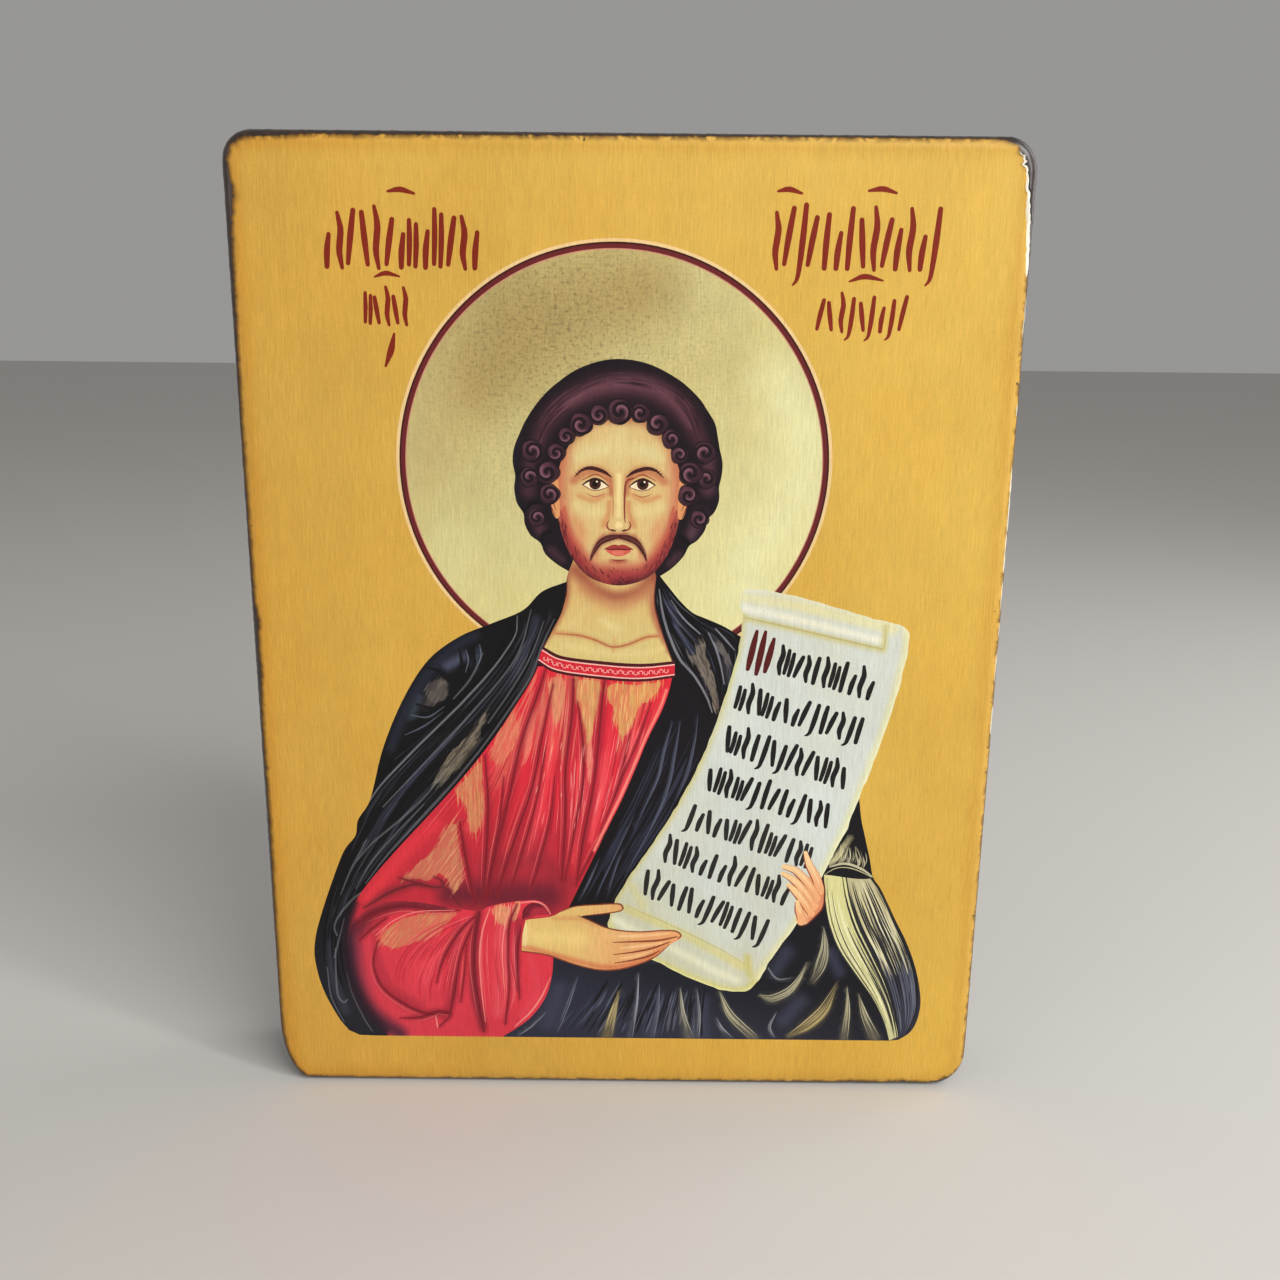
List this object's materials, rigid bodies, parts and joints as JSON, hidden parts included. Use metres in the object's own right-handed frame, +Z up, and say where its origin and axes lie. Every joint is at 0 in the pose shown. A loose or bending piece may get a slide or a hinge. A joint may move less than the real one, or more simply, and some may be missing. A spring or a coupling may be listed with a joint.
{
  "type": "icon panel",
  "caption": "Wooden icon panel with rounded corners and rubbed edges, painted on its front with a haloed half-length figure that holds a scroll, standing on its lower edge.",
  "frame": {"origin": "middle of the underside, the flat lower edge that the panel stands on", "axes": "+Z up along the panel's height, +X to the right as the picture is looked at, -Y out of the painted front, +Y out of the plain back"},
  "size_m": [0.13, 0.02, 0.17],
  "materials": {
    "painted_wood": "satin"
  },
  "bodies": {
    "root": {"icon_board": "painted_wood"}
  },
  "joints": []
}
